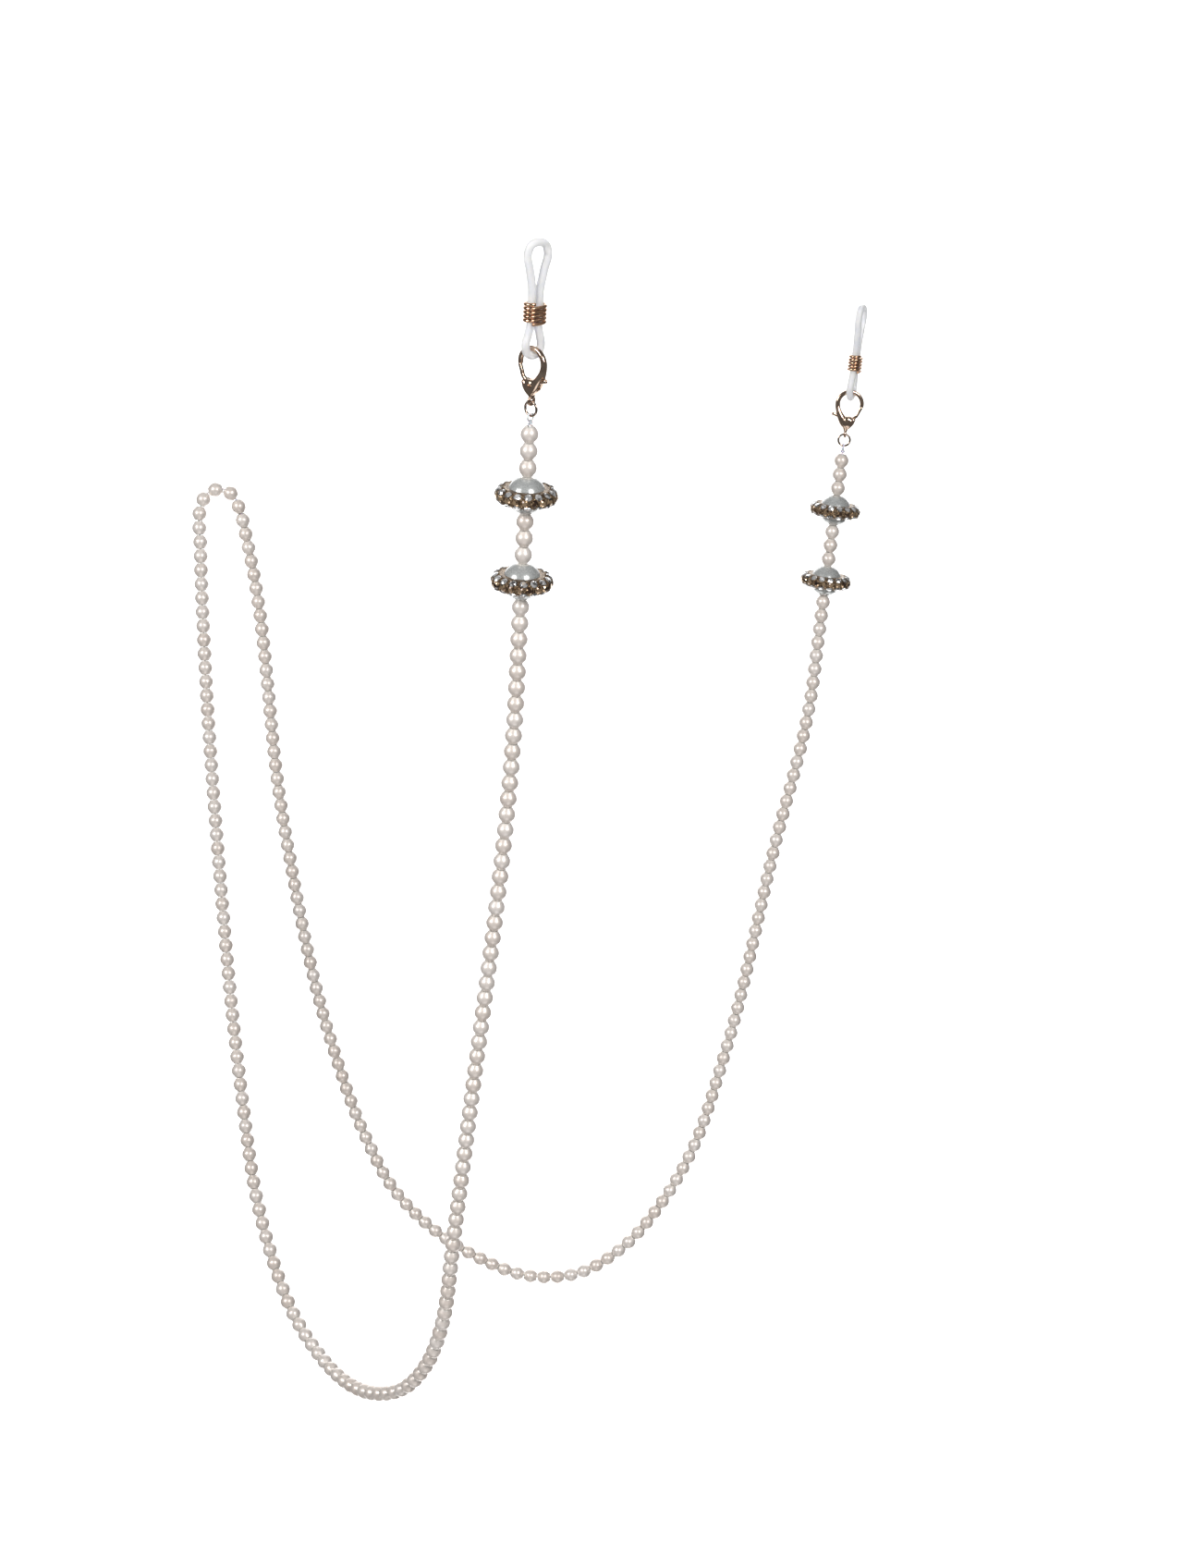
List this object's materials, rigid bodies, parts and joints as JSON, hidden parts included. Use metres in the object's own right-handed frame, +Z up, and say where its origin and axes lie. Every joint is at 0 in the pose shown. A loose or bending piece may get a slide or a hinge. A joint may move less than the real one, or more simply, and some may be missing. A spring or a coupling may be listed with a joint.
{
  "type": "eyeglasses chain strap",
  "caption": "Pearl-bead eyeglasses strap with paved saucer beads, lobster clasps, jump rings and silicone temple loops held by coils.",
  "frame": {"origin": "where the strap rests on the neck or a hook, on the underside of the pearls at the top bend", "axes": "+Z up as the strap hangs; +X to the right and +Y away, seen from the front"},
  "size_m": [0.1393, 0.1559, 0.2292],
  "materials": {
    "thread": "milky nylon monofilament",
    "small_pearl": "warm ivory imitation pearl, satin lustre",
    "core_pearl": "cool grey-white imitation pearl, satin lustre",
    "clay": "gold-brown modelling clay with a metallic dust",
    "clear_stone": "foil-backed clear crystal",
    "topaz_stone": "foil-backed smoky topaz crystal",
    "silicone": "translucent silicone",
    "copper_wire": "copper-gold plated wire",
    "gold_plate": "polished champagne-gold plate",
    "ring_wire": "polished wire",
    "spring_steel": "spring wire"
  },
  "bodies": {
    "strand": {"thread": "thread", "run_pearls_01": "small_pearl", "run_pearls_02": "small_pearl", "run_pearls_03": "small_pearl", "run_pearls_04": "small_pearl", "run_pearls_05": "small_pearl", "run_pearls_06": "small_pearl", "run_pearls_07": "small_pearl", "run_pearls_08": "small_pearl", "run_pearls_09": "small_pearl", "run_pearls_10": "small_pearl", "run_pearls_11": "small_pearl", "run_pearls_12": "small_pearl", "run_pearls_13": "small_pearl", "run_pearls_14": "small_pearl", "left_thread_knot": "thread", "left_lead_pearls": "small_pearl", "left_spacer_pearls": "small_pearl", "right_thread_knot": "thread", "right_lead_pearls": "small_pearl", "right_spacer_pearls": "small_pearl"},
    "left_ring": {"left_jump_ring": "ring_wire"},
    "left_clasp": {"left_clasp_body": "gold_plate", "left_clasp_rivet": "gold_plate", "left_trigger_spring": "spring_steel"},
    "left_trigger": {"left_clasp_trigger": "gold_plate"},
    "left_loop": {"left_temple_loop": "silicone"},
    "left_coil": {"left_loop_coil": "copper_wire"},
    "left_upper_saucer": {"left_upper_core_pearl": "core_pearl", "left_upper_clay_band": "clay", "left_upper_clear_stones": "clear_stone", "left_upper_topaz_stones": "topaz_stone"},
    "left_lower_saucer": {"left_lower_core_pearl": "core_pearl", "left_lower_clay_band": "clay", "left_lower_clear_stones": "clear_stone", "left_lower_topaz_stones": "topaz_stone"},
    "right_ring": {"right_jump_ring": "ring_wire"},
    "right_clasp": {"right_clasp_body": "gold_plate", "right_clasp_rivet": "gold_plate", "right_trigger_spring": "spring_steel"},
    "right_trigger": {"right_clasp_trigger": "gold_plate"},
    "right_loop": {"right_temple_loop": "silicone"},
    "right_coil": {"right_loop_coil": "copper_wire"},
    "right_upper_saucer": {"right_upper_core_pearl": "core_pearl", "right_upper_clay_band": "clay", "right_upper_clear_stones": "clear_stone", "right_upper_topaz_stones": "topaz_stone"},
    "right_lower_saucer": {"right_lower_core_pearl": "core_pearl", "right_lower_clay_band": "clay", "right_lower_clear_stones": "clear_stone", "right_lower_topaz_stones": "topaz_stone"}
  },
  "joints": [
    {"name": "left_ring_swing", "type": "hinge", "parent": "strand", "child": "left_ring", "pos_m": [0.06709, -0.14032, 0.02856], "axis": [0.6462, 0.7541, 0.1172], "range_deg": [-60, 60]},
    {"name": "left_clasp_swing", "type": "hinge", "parent": "left_ring", "child": "left_clasp", "pos_m": [0.06721, -0.14072, 0.0305], "axis": [0.761, -0.6251, -0.1735], "range_deg": [-60, 60]},
    {"name": "left_trigger_turn", "type": "hinge", "parent": "left_clasp", "child": "left_trigger", "pos_m": [0.06721, -0.14114, 0.0332], "axis": [0.6462, 0.7541, 0.1172], "range_deg": [0, 24], "stiffness_Nm_per_rad": 0.0002, "springref_deg": -17.19},
    {"name": "left_loop_swing", "type": "hinge", "parent": "left_clasp", "child": "left_loop", "pos_m": [0.06756, -0.14237, 0.03916], "axis": [0.761, -0.6251, -0.1735], "range_deg": [-40, 40]},
    {"name": "left_coil_slide", "type": "slide", "parent": "left_loop", "child": "left_coil", "axis": [0.0575, -0.2013, 0.9778], "range_m": [-0.0003, 0.0015]},
    {"name": "left_upper_saucer_spin", "type": "hinge", "parent": "strand", "child": "left_upper_saucer", "pos_m": [0.06629, -0.13752, 0.01494], "axis": [0.0575, -0.2013, 0.9778], "continuous": true},
    {"name": "left_lower_saucer_spin", "type": "hinge", "parent": "strand", "child": "left_lower_saucer", "pos_m": [0.06543, -0.1345, 0.0003], "axis": [0.0575, -0.2013, 0.9778], "continuous": true},
    {"name": "right_ring_swing", "type": "hinge", "parent": "strand", "child": "right_ring", "pos_m": [0.12918, 0.00191, 0.01059], "axis": [0.0031, 0.9985, 0.0551], "range_deg": [-60, 60]},
    {"name": "right_clasp_swing", "type": "hinge", "parent": "right_ring", "child": "right_clasp", "pos_m": [0.12939, 0.0018, 0.01255], "axis": [0.9939, 0.0031, -0.1103], "range_deg": [-60, 60]},
    {"name": "right_trigger_turn", "type": "hinge", "parent": "right_clasp", "child": "right_trigger", "pos_m": [0.12989, 0.00165, 0.01523], "axis": [-0.0031, -0.9985, -0.0551], "range_deg": [0, 24], "stiffness_Nm_per_rad": 0.0002, "springref_deg": -17.19},
    {"name": "right_loop_swing", "type": "hinge", "parent": "right_clasp", "child": "right_loop", "pos_m": [0.13057, 0.00132, 0.02128], "axis": [0.9939, 0.0031, -0.1103], "range_deg": [-40, 40]},
    {"name": "right_coil_slide", "type": "slide", "parent": "right_loop", "child": "right_coil", "axis": [0.1103, -0.0551, 0.9924], "range_m": [-0.0003, 0.0015]},
    {"name": "right_upper_saucer_spin", "type": "hinge", "parent": "strand", "child": "right_upper_saucer", "pos_m": [0.12764, 0.00268, -0.00324], "axis": [0.1103, -0.0551, 0.9924], "continuous": true},
    {"name": "right_lower_saucer_spin", "type": "hinge", "parent": "strand", "child": "right_lower_saucer", "pos_m": [0.12599, 0.00351, -0.0181], "axis": [0.1103, -0.0551, 0.9924], "continuous": true}
  ]
}
